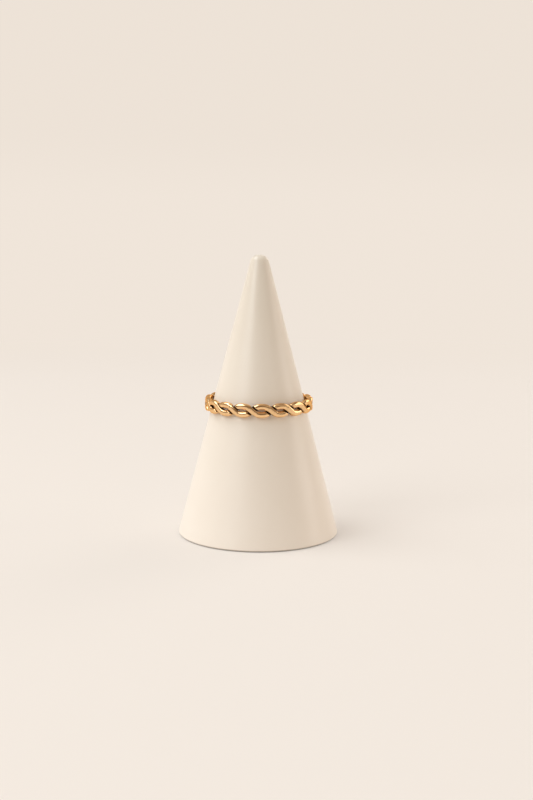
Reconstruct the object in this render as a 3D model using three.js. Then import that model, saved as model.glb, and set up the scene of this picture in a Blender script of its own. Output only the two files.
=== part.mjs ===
// A stacking ring of two gold wires twisted together and pressed flat, seated on a plain
// tapered ring cone. Millimetres, +Z up, origin at the centre of the cone's base.
import * as THREE from "three";

// Cone: a solid of revolution that tapers from the base to a small rounded tip.
const coneHeight = 50.3;
const coneBaseDiameter = 29.1;
const coneTipDiameter = 2.7; // where the straight side would meet the top, before rounding
const coneTipRounding = 1.4;
const coneBaseRounding = 0.4;
const coneSides = 72;
const coneArcSteps = 6;

// Ring: two round wires that cross over and under each other. The band is pressed as thin as one
// wire, so each wire is squeezed to less than half of its thickness where it crosses the other.
const ringInnerDiameter = 17.3;
const wireDiameter = 1.05;
const waveHeight = 1.43; // from a wire's middle at the top edge to its middle at the bottom edge
const fullTwists = 9; // turns of each wire round the other in one round of the ring
const twistDrift = -0.43; // radians by which hand twisting opens the pitch at the front
const crossingAngle = 0.229; // radians from the front middle to the nearest crossing
const waveSquareness = 0.06; // share of third harmonic that flattens the turns
const strandGap = 0.1; // radial, between two wires at a crossing
const shoulderStart = 0.02; // sideways, from the upper wire's edge to the lower wire's rise
const shoulderLength = 0.3; // over which the lower wire rises to the outer face
const turnRoundness = 1.1; // how far a pressed wire's round sides would rise, over its half
const crossingRoundness = 1.25; // the same at a crossing, where it is squeezed the most
const stationsPerCrossing = 10;
const wireSides = 12;

const seatClearance = 0.14; // square to the cone, between it and the middle of the lower turns

// Finishes.
const goldFinish = { color: 0xe3b27a, metalness: 1.0, roughness: 0.2 };
const glazeFinish = { color: 0xf1e7da, metalness: 0.0, roughness: 0.4 };

const ringInnerRadius = ringInnerDiameter / 2;
const ringOuterRadius = ringInnerRadius + wireDiameter;
const ringMiddleRadius = ringInnerRadius + wireDiameter / 2;
const crossings = 2 * fullTwists;

// The height at which the cone's straight side has a radius.
const coneTaper = (coneBaseDiameter - coneTipDiameter) / 2 / coneHeight;
const coneHeightAt = (radius) => (coneBaseDiameter / 2 - radius) / coneTaper;

// The ring slides down until its lower turns rest on the cone.
const seatReach = (wireDiameter / 2 + seatClearance) / Math.cos(Math.atan(coneTaper));
const seatHeight = coneHeightAt(ringMiddleRadius - seatReach);
const ringHeight = seatHeight + waveHeight / 2;

const { clamp, lerp } = THREE.MathUtils;

// A wire's phase round the other wire: 0 where it crosses over, a half turn where it goes under.
const phaseAt = (angle, strand) =>
  fullTwists * (angle - crossingAngle) +
  twistDrift * Math.sin(angle) +
  strand * Math.PI;

const phaseRateAt = (angle) => fullTwists + twistDrift * Math.cos(angle);

// Height of a wire's middle above the ring's middle plane, falling where it crosses over.
function waveAt(angle, strand) {
  const phase = phaseAt(angle, strand);
  const shape = Math.sin(phase) + waveSquareness * Math.sin(3 * phase);
  return (-waveHeight / 2) * (shape / (1 - waveSquareness));
}

// The wave's slope along the unrolled middle cylinder.
function slopeAt(angle, strand) {
  const phase = phaseAt(angle, strand);
  const rate = Math.cos(phase) + 3 * waveSquareness * Math.cos(3 * phase);
  const perRadian = (-waveHeight / 2) * (rate / (1 - waveSquareness)) * phaseRateAt(angle);
  return perRadian / ringMiddleRadius;
}

// How far a point on the unrolled band lies over the other wire: 1 over it, 0 clear of it.
function coverAt(angle, height, otherStrand) {
  const offset = Math.abs(height - waveAt(angle, otherStrand));
  const distance = offset / Math.hypot(1, slopeAt(angle, otherStrand));
  const rise = (distance - wireDiameter / 2 - shoulderStart) / shoulderLength;
  return 1 - clamp(rise, 0, 1) ** 2;
}

// Inner and outer radius of a wire at a point on the unrolled band.
function limitsAt(angle, height, strand) {
  const over = Math.cos(phaseAt(angle, strand)) > 0;
  const step = ((wireDiameter + strandGap) / 2) * coverAt(angle, height, 1 - strand);
  return {
    inner: over ? ringInnerRadius + step : ringInnerRadius,
    outer: over ? ringOuterRadius : ringOuterRadius - step,
  };
}

// One corner of a wire's section: round at both sides and pressed flat in and out, more so at the
// crossings. Turn runs round it, from the side that looks towards the fingertip to the outside.
function sectionPoint(angle, turn, strand) {
  const squeezed = Math.cos(phaseAt(angle, strand)) ** 4;
  const roundness = lerp(turnRoundness, crossingRoundness, squeezed);
  const lift = clamp(roundness * Math.sin(turn), -1, 1);
  const slope = slopeAt(angle, strand);
  const reach = (Math.cos(turn) * wireDiameter) / 2 / Math.hypot(1, slope);
  const pointAngle = angle - (reach * slope) / ringMiddleRadius;
  const height = waveAt(angle, strand) + reach;
  const { inner, outer } = limitsAt(pointAngle, height, strand);
  const radius = (inner + outer) / 2 + (lift * (outer - inner)) / 2;
  return [radius * Math.sin(pointAngle), -radius * Math.cos(pointAngle), height];
}

// A closed tube through the sections of one wire, all the way round the ring.
function strandGeometry(strand) {
  const stations = crossings * stationsPerCrossing;
  const positions = [];
  const faces = [];
  for (let station = 0; station < stations; station++) {
    const angle = (station / stations) * 2 * Math.PI;
    for (let side = 0; side < wireSides; side++) {
      positions.push(...sectionPoint(angle, (side / wireSides) * 2 * Math.PI, strand));
    }
    for (let side = 0; side < wireSides; side++) {
      const nextStation = (station + 1) % stations;
      const nextSide = (side + 1) % wireSides;
      const here = station * wireSides + side;
      const beside = station * wireSides + nextSide;
      const ahead = nextStation * wireSides + side;
      const across = nextStation * wireSides + nextSide;
      faces.push(here, across, ahead, here, beside, across);
    }
  }
  const geometry = new THREE.BufferGeometry();
  geometry.setAttribute("position", new THREE.Float32BufferAttribute(positions, 3));
  geometry.setIndex(faces);
  geometry.computeVertexNormals();
  return geometry;
}

// Points of an arc that rounds the corner between two straight runs of the profile.
function roundedCorner(before, corner, after, radius) {
  const toBefore = before.clone().sub(corner).normalize();
  const toAfter = after.clone().sub(corner).normalize();
  const halfAngle = Math.acos(toBefore.dot(toAfter)) / 2;
  const middle = toBefore.clone().add(toAfter).normalize();
  const centre = corner.clone().addScaledVector(middle, radius / Math.sin(halfAngle));
  const start = corner.clone().addScaledVector(toBefore, radius / Math.tan(halfAngle)).sub(centre);
  const end = corner.clone().addScaledVector(toAfter, radius / Math.tan(halfAngle)).sub(centre);
  const sweep = start.angleTo(end) * Math.sign(start.cross(end));
  return Array.from({ length: coneArcSteps + 1 }, (_, i) =>
    start.clone().rotateAround(new THREE.Vector2(), (sweep * i) / coneArcSteps).add(centre),
  );
}

function coneGeometry() {
  const foot = new THREE.Vector2(0, 0);
  const rim = new THREE.Vector2(coneBaseDiameter / 2, 0);
  const shoulder = new THREE.Vector2(coneTipDiameter / 2, coneHeight);
  const crown = new THREE.Vector2(0, coneHeight);
  const profile = [
    foot,
    ...roundedCorner(foot, rim, shoulder, coneBaseRounding),
    ...roundedCorner(rim, shoulder, crown, coneTipRounding),
    crown,
  ];
  return new THREE.LatheGeometry(profile, coneSides);
}

function ringCone() {
  const mesh = new THREE.Mesh(coneGeometry(), new THREE.MeshStandardMaterial(glazeFinish));
  mesh.name = "ring_cone";
  mesh.rotation.x = Math.PI / 2; // the lathe turns about Y, and the cone stands along Z
  return mesh;
}

function twistedRing() {
  const ring = new THREE.Group();
  ["strand_a", "strand_b"].forEach((name, strand) => {
    const material = new THREE.MeshStandardMaterial(goldFinish);
    const mesh = new THREE.Mesh(strandGeometry(strand), material);
    mesh.name = name;
    ring.add(mesh);
  });
  ring.position.z = ringHeight;
  return ring;
}

const part = new THREE.Group();
part.add(ringCone(), twistedRing());

export default part;
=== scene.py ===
import math

import bpy
import numpy as np
from mathutils import Matrix, Vector


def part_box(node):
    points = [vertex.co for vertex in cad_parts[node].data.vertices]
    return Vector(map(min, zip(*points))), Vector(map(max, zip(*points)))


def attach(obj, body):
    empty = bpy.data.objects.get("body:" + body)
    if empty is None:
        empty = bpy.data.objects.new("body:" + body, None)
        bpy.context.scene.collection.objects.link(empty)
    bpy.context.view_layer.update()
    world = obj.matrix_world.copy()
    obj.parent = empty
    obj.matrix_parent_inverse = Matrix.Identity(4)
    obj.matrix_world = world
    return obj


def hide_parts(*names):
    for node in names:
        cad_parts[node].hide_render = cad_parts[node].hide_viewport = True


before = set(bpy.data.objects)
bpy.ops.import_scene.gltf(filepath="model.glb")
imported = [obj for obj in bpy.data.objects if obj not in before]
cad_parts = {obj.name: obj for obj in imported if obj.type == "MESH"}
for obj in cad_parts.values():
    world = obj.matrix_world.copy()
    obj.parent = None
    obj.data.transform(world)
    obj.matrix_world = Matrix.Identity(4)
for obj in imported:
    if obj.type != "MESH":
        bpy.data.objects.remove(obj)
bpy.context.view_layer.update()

# Camera, on the side of the band that faces -Y, a little above the cone's tip.
# It stands 224 mm off and looks down a little at the cone with a long lens.
camera_distance = 0.2236
camera_height = 0.0588
camera_pitch = math.radians(8.763)
camera_yaw = math.radians(-0.351)  # turned right, so that the cone stands left of the middle
camera_roll = math.radians(0.369)
picture_height_px = 800
focal_length_px = 1257.0
sensor_width_mm = 36.0  # laid along the picture's longer side, its height

camera_data = bpy.data.cameras.new("camera")
camera_data.sensor_width = sensor_width_mm
camera_data.lens = sensor_width_mm * focal_length_px / picture_height_px
camera_data.clip_start = 0.01
camera_data.clip_end = 20.0
camera = bpy.data.objects.new("camera", camera_data)
bpy.context.scene.collection.objects.link(camera)
camera.matrix_world = (
    Matrix.Translation((0, -camera_distance, camera_height))
    @ Matrix.Rotation(camera_yaw, 4, "Z")
    @ Matrix.Rotation(math.pi / 2 - camera_pitch, 4, "X")
    @ Matrix.Rotation(camera_roll, 4, "Z")
)
bpy.context.scene.camera = camera
bpy.context.scene.view_settings.view_transform = "Standard"


# Ring cone: a plain tapered cone of cast ceramic with a thin cream glaze, fired to a satin.
# It is turned about its axis, with a softened foot and a small domed tip.
cone_low, cone_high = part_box("ring_cone")
cone_height = cone_high[2] - cone_low[2]
cone_base_radius = 0.01455  # of the straight side, carried down to the surface it stands on
cone_tip_radius = 0.00135  # of the straight side, carried up to the top
cone_tip_rounding = 0.0014
cone_base_rounding = 0.0004
cone_around = 256
side_steps = 41
foot_steps = 8
crown_steps = 4


def add_mesh(name, vertices, faces):
    """Makes a smooth-shaded mesh object from arrays of vertices and of faces."""
    mesh = bpy.data.meshes.new(name)
    mesh.from_pydata(np.reshape(vertices, (-1, 3)), [], [tuple(face) for face in faces])
    mesh.shade_smooth()
    piece = bpy.data.objects.new(name, mesh)
    bpy.context.scene.collection.objects.link(piece)
    return piece


def rounded_corner(before, corner, after, radius, steps=16):
    """Points of the arc of a radius that touches both lines that meet in a corner.

    Its centre is on the corner's bisector, at the radius over the sine of half its angle.
    """
    before, corner, after = (np.asarray(point, float) for point in (before, corner, after))
    to_before = (before - corner) / np.linalg.norm(before - corner)
    to_after = (after - corner) / np.linalg.norm(after - corner)
    half_angle = math.acos(to_before @ to_after) / 2
    middle = (to_before + to_after) / np.linalg.norm(to_before + to_after)
    centre = corner + middle * radius / math.sin(half_angle)
    start = corner + to_before * radius / math.tan(half_angle) - centre
    end = corner + to_after * radius / math.tan(half_angle) - centre
    sweep = math.atan2(start[0] * end[1] - start[1] * end[0], start @ end)
    turn = np.linspace(0, sweep, steps + 1)
    x = np.cos(turn) * start[0] - np.sin(turn) * start[1]
    z = np.sin(turn) * start[0] + np.cos(turn) * start[1]
    return centre + np.stack([x, z], -1)


def turned_surface(name, profile, around):
    """A profile of (radius, height) points, turned about Z; its first and last points are on Z.

    Point (i, j) = (radius_i sin(turn_j), -radius_i cos(turn_j), height_i).
    """
    turn = np.arange(around) / around * 2 * np.pi
    radius, height = profile[1:-1, 0], profile[1:-1, 1]
    rings = np.stack(
        [
            radius[:, None] * np.sin(turn),
            -radius[:, None] * np.cos(turn),
            np.repeat(height[:, None], around, axis=1),
        ],
        -1,
    )
    bottom = np.array([[0, 0, profile[0, 1]]])
    top = np.array([[0, 0, profile[-1, 1]]])
    vertices = np.concatenate([bottom, rings.reshape(-1, 3), top])
    index = 1 + np.arange(radius.size * around).reshape(radius.size, around)
    beside = np.roll(index, -1, axis=1)
    sides = np.stack([index[:-1], beside[:-1], beside[1:], index[1:]], -1).reshape(-1, 4)
    foot = np.stack([beside[0], index[0], np.zeros(around, int)], -1)
    crown = np.stack([index[-1], beside[-1], np.full(around, len(vertices) - 1)], -1)
    return add_mesh(name, vertices, [*foot.tolist(), *sides.tolist(), *crown.tolist()])


foot_middle = (0, 0)
foot_rim = (cone_base_radius, 0)
tip_rim = (cone_tip_radius, cone_height)
tip_middle = (0, cone_height)
foot_arc = rounded_corner(foot_middle, foot_rim, tip_rim, cone_base_rounding)
tip_arc = rounded_corner(foot_rim, tip_rim, tip_middle, cone_tip_rounding)
side_share = np.linspace(0, 1, side_steps + 1)[1:-1, None]
side = foot_arc[-1] * (1 - side_share) + tip_arc[0] * side_share
foot_share = np.linspace(0, 1, foot_steps + 1)[1:-1, None]
under = foot_arc[0] * foot_share
crown_share = np.linspace(0, 1, crown_steps + 1)[1:-1, None]
crown = tip_arc[-1] * (1 - crown_share) + np.array(tip_middle) * crown_share
cone_profile = np.concatenate(
    [[foot_middle], under, foot_arc, side, tip_arc, crown, [tip_middle]]
)
cone = turned_surface("glazed_cone", cone_profile, cone_around)

glaze = bpy.data.materials.new("cream_glaze")
glaze.use_nodes = True
nodes, links = glaze.node_tree.nodes, glaze.node_tree.links
shader = nodes["Principled BSDF"]
place = nodes.new("ShaderNodeTexCoord")
clouds = nodes.new("ShaderNodeTexNoise")  # where the glaze is a little thicker or thinner
clouds.inputs["Scale"].default_value = 130.0
clouds.inputs["Detail"].default_value = 4.0
ripple = nodes.new("ShaderNodeTexNoise")  # the soft ripple of a fired glaze
ripple.inputs["Scale"].default_value = 420.0
ripple.inputs["Detail"].default_value = 2.0
body_tone = nodes.new("ShaderNodeMix")
body_tone.data_type = "RGBA"
body_tone.inputs["A"].default_value = (0.965, 0.884, 0.784, 1)
body_tone.inputs["B"].default_value = (0.935, 0.847, 0.738, 1)
painted_bounce_fade = nodes.new("ShaderNodeMapRange")  # painted light: darker towards the tip and paler at the foot, standing in for light bounced up from the floor
painted_bounce_fade.inputs["From Max"].default_value = cone_height
painted_bounce_tone = nodes.new("ShaderNodeMix")
painted_bounce_tone.data_type = "RGBA"
painted_bounce_tone.blend_type = "MULTIPLY"
# painted light: the tone is multiplied by this at the tip, so the foot looks lit by the floor's
# bounce
painted_bounce_tone.inputs["B"].default_value = (0.885, 0.881, 0.848, 1)
gloss = nodes.new("ShaderNodeMapRange")
gloss.inputs["To Min"].default_value = 0.28
gloss.inputs["To Max"].default_value = 0.36
surface = nodes.new("ShaderNodeBump")
surface.inputs["Strength"].default_value = 0.25
surface.inputs["Distance"].default_value = 0.00002
split = nodes.new("ShaderNodeSeparateXYZ")
painted_contact_shadow = nodes.new("ShaderNodeMapRange")  # painted shadow: the lowest rim of the foot is darkened, standing in for the contact shadow under it
painted_contact_shadow.inputs["From Min"].default_value = cone_base_rounding
painted_contact_shadow.inputs["From Max"].default_value = 0.2 * cone_base_rounding
contact_shadow_tone = nodes.new("ShaderNodeMix")
contact_shadow_tone.data_type = "RGBA"
# painted contact shadow: the dark brown that the foot's rim is darkened to
contact_shadow_tone.inputs["B"].default_value = (0.20, 0.155, 0.115, 1)
links.new(place.outputs["Object"], clouds.inputs["Vector"])
links.new(place.outputs["Object"], ripple.inputs["Vector"])
links.new(place.outputs["Object"], split.inputs["Vector"])
links.new(clouds.outputs["Fac"], body_tone.inputs["Factor"])
links.new(clouds.outputs["Fac"], gloss.inputs["Value"])
links.new(gloss.outputs["Result"], shader.inputs["Roughness"])
links.new(ripple.outputs["Fac"], surface.inputs["Height"])
links.new(surface.outputs["Normal"], shader.inputs["Normal"])
links.new(split.outputs["Z"], painted_contact_shadow.inputs["Value"])
links.new(painted_contact_shadow.outputs["Result"], contact_shadow_tone.inputs["Factor"])
links.new(split.outputs["Z"], painted_bounce_fade.inputs["Value"])
links.new(painted_bounce_fade.outputs["Result"], painted_bounce_tone.inputs["Factor"])
links.new(body_tone.outputs["Result"], painted_bounce_tone.inputs["A"])
links.new(painted_bounce_tone.outputs["Result"], contact_shadow_tone.inputs["A"])
links.new(contact_shadow_tone.outputs["Result"], shader.inputs["Base Color"])
cone.data.materials.append(glaze)
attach(cone, "root")
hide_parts("ring_cone")


# Twisted band: two round gold wires twisted together, bent to a ring and pressed flat.
# Pressing left flat outer and inner faces, and the wires' sides are still round.
strand_low, strand_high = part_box("strand_a")
wire_diameter = 0.00105  # also the band's thickness
wave_height = 0.00143
outer_radius = strand_high[0]
inner_radius = outer_radius - wire_diameter
middle_radius = outer_radius - wire_diameter / 2
ring_height = (strand_low[2] + strand_high[2]) / 2
full_twists = 9
twist_drift = -0.43
crossing_angle = 0.229
wave_squareness = 0.06
strand_gap = 0.0001
shoulder_start = 0.00002
shoulder_length = 0.0003
shoulder_sharpness = 8
turn_roundness = 1.1  # how far a pressed wire's round sides would rise, over its half
crossing_roundness = 1.25  # the same at a crossing, where it is squeezed the most
edge_sharpness = 9
crevice_shade_depth = 0.00025  # painted shade: fades in over this depth below the outer face, where a wire tucks under the other one
stations_per_crossing = 56
wire_sides = 40


def phase_at(angle, strand):
    """Phase of a wire round the other one: 0 where it crosses over, pi where it goes under."""
    return full_twists * (angle - crossing_angle) + twist_drift * np.sin(angle) + strand * np.pi


def wave_at(angle, strand):
    """Height of a wire's middle: a sine of its phase, a little squared, falling at 0."""
    phase = phase_at(angle, strand)
    shape = np.sin(phase) + wave_squareness * np.sin(3 * phase)
    return -wave_height / 2 * shape / (1 - wave_squareness)


def slope_at(angle, strand):
    """Slope of a wire's middle along the unrolled band, the derivative of wave_at."""
    phase = phase_at(angle, strand)
    rate = np.cos(phase) + 3 * wave_squareness * np.cos(3 * phase)
    turn_rate = full_twists + twist_drift * np.cos(angle)
    return -wave_height / 2 * rate / (1 - wave_squareness) * turn_rate / middle_radius


def cover_at(angle, height, other):
    """1 where a point of the unrolled band lies over the other wire, and 0 where it is clear.

    Beside the other wire it falls as 1 - rise squared, and it levels off softly at 0.
    """
    distance = np.abs(height - wave_at(angle, other)) / np.hypot(1, slope_at(angle, other))
    rise = np.clip((distance - wire_diameter / 2 - shoulder_start) / shoulder_length, 0, 2) ** 2
    return 1 - rise / (1 + rise**shoulder_sharpness) ** (1 / shoulder_sharpness)


def wire_surface(strand):
    """Closed tube of wire sections, how much painted shade each point gets where it tucks under
    the other wire, and its unrolled place.

    A section's point at turn t lies sideways by half the width times cos t. Outwards it lies by
    half the thickness times s / (1 + |s|^n)^(1/n), where s = k sin t and k is the roundness.
    """
    stations = 2 * full_twists * stations_per_crossing
    angle = (np.arange(stations) / stations * 2 * np.pi)[:, None]
    turn = (np.arange(wire_sides) / wire_sides * 2 * np.pi)[None, :]
    phase = phase_at(angle, strand)
    slope = slope_at(angle, strand)
    reach = wire_diameter / 2 * np.cos(turn) / np.hypot(1, slope)
    point_angle = angle - reach * slope / middle_radius
    height = wave_at(angle, strand) + reach
    over = np.cos(phase) > 0
    step = (wire_diameter + strand_gap) / 2 * cover_at(point_angle, height, 1 - strand)
    inner = inner_radius + np.where(over, step, 0)
    outer = outer_radius - np.where(over, 0, step)
    roundness = turn_roundness + (crossing_roundness - turn_roundness) * np.cos(phase) ** 4
    swell = roundness * np.sin(turn)
    lift = swell / (1 + np.abs(swell) ** edge_sharpness) ** (1 / edge_sharpness)
    radius = (inner + outer) / 2 + lift * (outer - inner) / 2
    points = np.stack(
        [radius * np.sin(point_angle), -radius * np.cos(point_angle), ring_height + height], -1
    )
    # painted shade: darkest where the wire lies under the other one, fading in below the outer
    # face
    crevice_shade = cover_at(point_angle, height, 1 - strand)
    crevice_shade = crevice_shade * np.clip((outer_radius - radius) / crevice_shade_depth, 0, 1)
    around = (point_angle + np.pi) % (2 * np.pi) * middle_radius
    return points, crevice_shade, np.stack([around, height + 0 * around, radius], -1)


def tube_mesh(name, points):
    """A mesh that closes a grid of points on itself both along and around."""
    along, around = points.shape[:2]
    index = np.arange(along * around).reshape(along, around)
    ahead = np.roll(index, -1, axis=0)
    quads = np.stack([index, np.roll(index, -1, 1), np.roll(ahead, -1, 1), ahead], -1)
    return add_mesh(name, points, quads.reshape(-1, 4).tolist())


gold = bpy.data.materials.new("pressed_gold")
gold.use_nodes = True
nodes, links = gold.node_tree.nodes, gold.node_tree.links
shader = nodes["Principled BSDF"]
shader.inputs["Metallic"].default_value = 1.0
unrolled = nodes.new("ShaderNodeAttribute")
unrolled.attribute_name = "unrolled"
# the share of painted shade between the wires, kept on the mesh
crevice_shade = nodes.new("ShaderNodeAttribute")
crevice_shade.attribute_name = "crevice_shade"
drawn = nodes.new("ShaderNodeMapping")  # stretches the grain along the band
drawn.inputs["Scale"].default_value = (0.12, 1.0, 1.0)
grain = nodes.new("ShaderNodeTexNoise")  # fine lines from drawing and polishing the wire
grain.inputs["Scale"].default_value = 9000.0
grain.inputs["Detail"].default_value = 3.0
wear = nodes.new("ShaderNodeTexNoise")  # shallow waves that pressing leaves in the faces
wear.inputs["Scale"].default_value = 1100.0
wear.inputs["Detail"].default_value = 2.0
faces = nodes.new("ShaderNodeBump")
faces.inputs["Strength"].default_value = 0.35
faces.inputs["Distance"].default_value = 0.00001
lines = nodes.new("ShaderNodeBump")
lines.inputs["Strength"].default_value = 0.12
lines.inputs["Distance"].default_value = 0.000003
polish = nodes.new("ShaderNodeMapRange")
polish.inputs["To Min"].default_value = 0.10
polish.inputs["To Max"].default_value = 0.22
face_tone = nodes.new("ShaderNodeMix")
face_tone.data_type = "RGBA"
face_tone.inputs["A"].default_value = (0.90, 0.583, 0.300, 1)
face_tone.inputs["B"].default_value = (0.96, 0.655, 0.350, 1)
tone = nodes.new("ShaderNodeMix")
tone.data_type = "RGBA"
# painted shade: near black where a wire tucks under the other one
tone.inputs["B"].default_value = (0.045, 0.012, 0.002, 1)
links.new(unrolled.outputs["Vector"], drawn.inputs["Vector"])
links.new(drawn.outputs["Vector"], grain.inputs["Vector"])
links.new(unrolled.outputs["Vector"], wear.inputs["Vector"])
links.new(wear.outputs["Fac"], faces.inputs["Height"])
links.new(faces.outputs["Normal"], lines.inputs["Normal"])
links.new(grain.outputs["Fac"], lines.inputs["Height"])
links.new(lines.outputs["Normal"], shader.inputs["Normal"])
links.new(grain.outputs["Fac"], polish.inputs["Value"])
links.new(polish.outputs["Result"], shader.inputs["Roughness"])
links.new(wear.outputs["Fac"], face_tone.inputs["Factor"])
links.new(face_tone.outputs["Result"], tone.inputs["A"])
links.new(crevice_shade.outputs["Fac"], tone.inputs["Factor"])
links.new(tone.outputs["Result"], shader.inputs["Base Color"])
# the painted shade also darkens the tint of the reflections there
links.new(tone.outputs["Result"], shader.inputs["Specular Tint"])

for strand, node in enumerate(("strand_a", "strand_b")):
    surface, crevice_shade_share, unrolled_place = wire_surface(strand)
    wire = tube_mesh("twisted_wire_" + "ab"[strand], surface)
    shares = wire.data.attributes.new("crevice_shade", "FLOAT", "POINT")
    shares.data.foreach_set("value", crevice_shade_share.ravel())
    places = wire.data.attributes.new("unrolled", "FLOAT_VECTOR", "POINT")
    places.data.foreach_set("vector", unrolled_place.ravel())
    wire.data.materials.append(gold)
    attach(wire, "root")
    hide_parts(node)


# Studio: a pale tabletop in front of a pale wall, with daylight from windows on the left and
# softer light from the right. In front of the table, and high on the right, the room is dim.
room_tone = (0.870, 0.785, 0.700)
wall_tone = (0.85, 0.765, 0.68)
left_tone = (0.52, 0.457, 0.404)
low_right_tone = (0.98, 0.863, 0.756)
high_right_tone = (0.50, 0.44, 0.39)
ceiling_tone = (0.55, 0.484, 0.426)
dim_tone = (0.225, 0.168, 0.122)
floor_radius = 3.0
floor_around = 128
lit_floor_radius = 0.20  # lit by the lights up to here
far_floor_radius = 0.34  # and plainly room toned from here on


def ramp(nodes, links, value, low, high):
    """A node socket that rises smoothly from 0 to 1 while the value goes from low to high."""
    node = nodes.new("ShaderNodeMapRange")
    node.interpolation_type = "SMOOTHSTEP"
    node.inputs["From Min"].default_value = low
    node.inputs["From Max"].default_value = high
    links.new(value, node.inputs["Value"])
    return node.outputs["Result"]


def blend(nodes, links, share, first, second):
    """A node socket with the first tone where the share is 0 and the second where it is 1."""
    node = nodes.new("ShaderNodeMix")
    node.data_type = "RGBA"
    links.new(share, node.inputs["Factor"])
    for name, tone in (("A", first), ("B", second)):
        if isinstance(tone, tuple):
            node.inputs[name].default_value = (*tone, 1)
        else:
            links.new(tone, node.inputs[name])
    return node.outputs["Result"]


def product(nodes, links, first, second):
    """A node socket with the product of two values."""
    node = nodes.new("ShaderNodeMath")
    node.operation = "MULTIPLY"
    links.new(first, node.inputs[0])
    links.new(second, node.inputs[1])
    return node.outputs["Value"]


floor_turn = np.arange(floor_around) / floor_around * 2 * np.pi
floor_rim = np.stack([np.cos(floor_turn), np.sin(floor_turn), 0 * floor_turn], -1) * floor_radius
floor = add_mesh("floor", floor_rim, [range(floor_around)])
pale = bpy.data.materials.new("pale_floor")
pale.use_nodes = True
nodes, links = pale.node_tree.nodes, pale.node_tree.links
shader = nodes["Principled BSDF"]
shader.inputs["Roughness"].default_value = 0.8
shader.inputs["Specular IOR Level"].default_value = 0.2
shader.inputs["Base Color"].default_value = (0.54, 0.485, 0.43, 1)
shader.inputs["Emission Color"].default_value = (0.321, 0.315, 0.304, 1)
shader.inputs["Emission Strength"].default_value = 1.0
place = nodes.new("ShaderNodeTexCoord")
split = nodes.new("ShaderNodeSeparateXYZ")
distance = nodes.new("ShaderNodeVectorMath")
distance.operation = "LENGTH"
far_light = nodes.new("ShaderNodeEmission")
mix = nodes.new("ShaderNodeMixShader")
links.new(place.outputs["Object"], split.inputs["Vector"])
links.new(place.outputs["Object"], distance.inputs[0])
behind = ramp(nodes, links, split.outputs["Y"], -0.20, 0.10)
links.new(blend(nodes, links, behind, dim_tone, room_tone), far_light.inputs["Color"])
far_share = ramp(nodes, links, distance.outputs["Value"], lit_floor_radius, far_floor_radius)
links.new(far_share, mix.inputs["Fac"])
links.new(shader.outputs["BSDF"], mix.inputs[1])
links.new(far_light.outputs["Emission"], mix.inputs[2])
links.new(mix.outputs["Shader"], nodes["Material Output"].inputs["Surface"])
floor.data.materials.append(pale)

world = bpy.data.worlds.new("studio")
world.use_nodes = True
bpy.context.scene.world = world
nodes, links = world.node_tree.nodes, world.node_tree.links
place = nodes.new("ShaderNodeTexCoord")
split = nodes.new("ShaderNodeSeparateXYZ")
links.new(place.outputs["Generated"], split.inputs["Vector"])
side, depth, height = split.outputs  # of a direction: rightwards, away from the camera, up
front = ramp(nodes, links, depth, -0.1, -0.7)
not_overhead = ramp(nodes, links, height, 0.92, 0.78)
in_front = product(nodes, links, front, not_overhead)
back = ramp(nodes, links, depth, 0.2, 0.9)
low_enough = ramp(nodes, links, height, 0.40, 0.22)
behind = product(nodes, links, back, low_enough)
ceiling = blend(nodes, links, ramp(nodes, links, side, 0.05, 0.40), ceiling_tone, dim_tone)
high = ramp(nodes, links, height, 0.30, 0.50)
right = blend(nodes, links, high, low_right_tone, high_right_tone)
tone = blend(nodes, links, ramp(nodes, links, side, -0.01, 0.01), left_tone, right)
tone = blend(nodes, links, ramp(nodes, links, height, 0.55, 0.85), tone, ceiling)
tone = blend(nodes, links, in_front, tone, dim_tone)
tone = blend(nodes, links, behind, tone, wall_tone)
low = blend(nodes, links, ramp(nodes, links, depth, -0.2, 0.1), dim_tone, room_tone)
tone = blend(nodes, links, ramp(nodes, links, height, 0.06, 0.0), tone, low)
links.new(tone, nodes["Background"].inputs["Color"])


def soft_light(name, place, width, height, watts, tone):
    """A rectangular light that looks at the band from a place and isn't seen by the camera."""
    data = bpy.data.lights.new(name, "AREA")
    data.shape = "RECTANGLE"
    data.size, data.size_y = width, height
    data.energy = watts
    data.color = tone
    light = bpy.data.objects.new(name, data)
    bpy.context.scene.collection.objects.link(light)
    look = Vector((0, 0, ring_height)) - Vector(place)
    turn = look.to_track_quat("-Z", "Y").to_matrix().to_4x4()
    light.matrix_world = Matrix.Translation(place) @ turn
    light.visible_camera = False


daylight = (0.875, 0.93, 0.975)
lamplight = (0.98, 0.95, 0.92)
# The windows are on the left. The gap draws the soft streak down the cone's right side.
soft_light("high_window", (-0.45, 0.05, 0.80), 0.5, 0.5, 3.55, daylight)
soft_light("front_window", (-0.55, -0.50, 0.55), 0.5, 0.5, 3.30, daylight)
soft_light("right_gap", (0.60, 0.01, 0.135), 0.26, 0.30, 0.42, lamplight)
soft_light("front_fill", (0.38, -0.42, 0.50), 0.5, 0.5, 0.31, lamplight)
soft_light("right_fill", (0.45, 0.45, 0.35), 0.4, 0.4, 0.95, lamplight)
